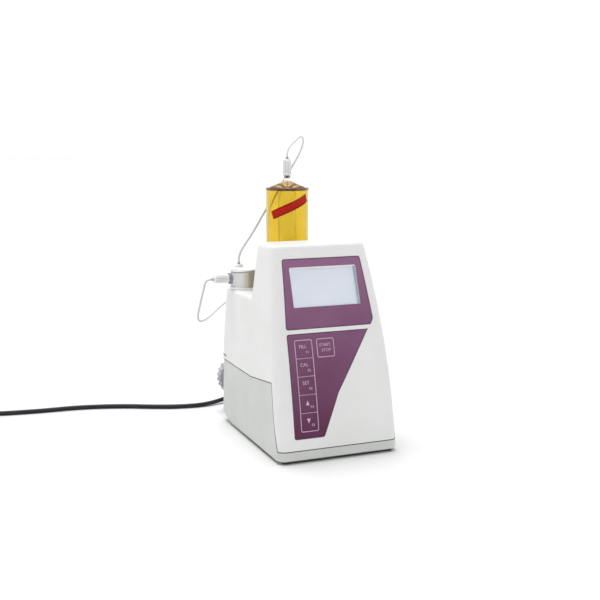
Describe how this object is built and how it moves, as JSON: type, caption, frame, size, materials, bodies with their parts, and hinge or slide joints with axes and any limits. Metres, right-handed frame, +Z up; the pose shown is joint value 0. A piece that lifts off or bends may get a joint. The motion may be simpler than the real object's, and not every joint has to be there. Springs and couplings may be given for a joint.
{
  "type": "digital burette",
  "caption": "Bench piston burette with a sloping display panel, sprung keys, an amber-jacketed glass cylinder, a hose valve, a stand clamp with a scalloped knob and a mains lead.",
  "frame": {"origin": "on the table under the middle of the footprint, without the hoses and the mains lead", "axes": "+Z up along the cylinder, +X to the right of someone facing the panel, -Y towards them"},
  "size_m": [0.5465, 0.3181, 0.3287],
  "materials": {
    "housing_white": "pearl white moulded plastic",
    "tub_grey": "light grey moulded plastic",
    "rubber": "soft rubber",
    "steel": "bright steel",
    "foil": "printed purple foil",
    "window": "clear window",
    "display": "pale grey-blue display",
    "keys": "purple key caps",
    "board": "green circuit board",
    "sheet_metal": "plain aluminium",
    "gear": "moulded acetal",
    "motor": "black motor case",
    "ptfe": "white fluoropolymer",
    "clear_glass": "borosilicate glass",
    "amber": "amber light shield",
    "nut_white": "white ribbed nuts",
    "valve_grey": "light grey valve drum",
    "ferrule_dark": "dark ferrules",
    "knob_grey": "grey-lilac knob",
    "black_plastic": "black moulded plastic",
    "lead_black": "black mains lead",
    "brass": "nickelled brass pins",
    "hose": "clear white fluoropolymer hose"
  },
  "bodies": {
    "housing": {"upper_housing": "housing_white", "lower_tub": "tub_grey", "rear_panel": "tub_grey", "rubber_feet": "rubber", "housing_screws": "steel", "display_foil": "foil", "keypad_foil": "foil", "lcd_glass": "window", "lcd_module": "display", "keypad_board": "board", "main_board": "board", "power_supply": "board", "drive_frame": "sheet_metal", "thrust_bearing": "steel", "stepper_motor": "motor", "glass_cylinder": "clear_glass", "amber_jacket": "amber", "cylinder_head": "amber", "cylinder_nut": "nut_white", "cylinder_base": "amber", "valve_housing": "valve_grey", "valve_seat": "valve_grey", "valve_body": "ptfe", "valve_motor": "motor", "left_nut": "nut_white", "rear_nut": "nut_white", "top_nut": "nut_white", "hose_ferrules": "ferrule_dark", "clamp_block": "sheet_metal", "switch_frame": "black_plastic", "serial_sockets": "steel", "strain_relief": "black_plastic", "cord_lead": "lead_black", "cord_coil": "lead_black", "mains_plug": "black_plastic", "plug_pins": "brass", "hose_head": "hose", "hose_loop": "hose"},
    "key_fill": {"key_fill": "keys"},
    "key_cal": {"key_cal": "keys"},
    "key_set": {"key_set": "keys"},
    "key_up": {"key_up": "keys"},
    "key_down": {"key_down": "keys"},
    "key_start_stop": {"key_start_stop": "keys"},
    "plunger": {"piston": "ptfe", "lead_screw": "steel"},
    "drive_nut": {"nut_gear": "gear"},
    "pinion": {"motor_pinion": "steel"},
    "valve_turn": {"valve_plug": "ptfe"},
    "pad": {"clamp_pad": "steel"},
    "knob": {"clamp_knob": "knob_grey"},
    "rocker": {"power_switch": "black_plastic"}
  },
  "joints": [
    {"name": "key_fill_press", "type": "slide", "parent": "housing", "child": "key_fill", "axis": [0, 0.9651, -0.2618], "range_m": [0, 0.0005], "stiffness_N_per_m": 900, "springref_m": -0.0003},
    {"name": "key_cal_press", "type": "slide", "parent": "housing", "child": "key_cal", "axis": [0, 0.9707, -0.2402], "range_m": [0, 0.0005], "stiffness_N_per_m": 900, "springref_m": -0.0003},
    {"name": "key_set_press", "type": "slide", "parent": "housing", "child": "key_set", "axis": [0, 0.9758, -0.2184], "range_m": [0, 0.0005], "stiffness_N_per_m": 900, "springref_m": -0.0003},
    {"name": "key_up_press", "type": "slide", "parent": "housing", "child": "key_up", "axis": [0, 0.9805, -0.1966], "range_m": [0, 0.0005], "stiffness_N_per_m": 900, "springref_m": -0.0003},
    {"name": "key_down_press", "type": "slide", "parent": "housing", "child": "key_down", "axis": [0, 0.9846, -0.1746], "range_m": [0, 0.0005], "stiffness_N_per_m": 900, "springref_m": -0.0003},
    {"name": "key_start_stop_press", "type": "slide", "parent": "housing", "child": "key_start_stop", "axis": [0, 0.9651, -0.2618], "range_m": [0, 0.0005], "stiffness_N_per_m": 900, "springref_m": -0.0003},
    {"name": "piston_slide", "type": "slide", "parent": "housing", "child": "plunger", "axis": [0, 0, 1], "range_m": [0, 0.08]},
    {"name": "nut_spin", "type": "hinge", "parent": "housing", "child": "drive_nut", "pos_m": [0.00835, 0.03408, 0.115], "axis": [0, 0, 1], "range_deg": [0, 5800]},
    {"name": "pinion_spin", "type": "hinge", "parent": "housing", "child": "pinion", "pos_m": [0.00835, -0.00792, 0.115], "axis": [0, 0, 1], "range_deg": [-17400, 0]},
    {"name": "valve_spin", "type": "hinge", "parent": "housing", "child": "valve_turn", "pos_m": [-0.03205, 0.05558, 0.1686], "axis": [0, 0, 1], "range_deg": [0, 90]},
    {"name": "clamp_slide", "type": "slide", "parent": "housing", "child": "pad", "axis": [0, -1, 0], "range_m": [0, 0.004]},
    {"name": "knob_spin", "type": "hinge", "parent": "pad", "child": "knob", "pos_m": [-0.02915, 0.10518, 0.041], "axis": [0, -1, 0], "range_deg": [0, 1445]},
    {"name": "rocker_tilt", "type": "hinge", "parent": "housing", "child": "rocker", "pos_m": [0.03235, 0.07388, 0.0295], "axis": [1, 0, 0], "range_deg": [0, 24]}
  ],
  "couplings": [
    {"joint": "nut_spin", "follows": "piston_slide", "rad_per_m": 1256.6},
    {"joint": "pinion_spin", "follows": "piston_slide", "rad_per_m": -3769.9},
    {"joint": "knob_spin", "follows": "clamp_slide", "rad_per_m": 6283.2}
  ]
}
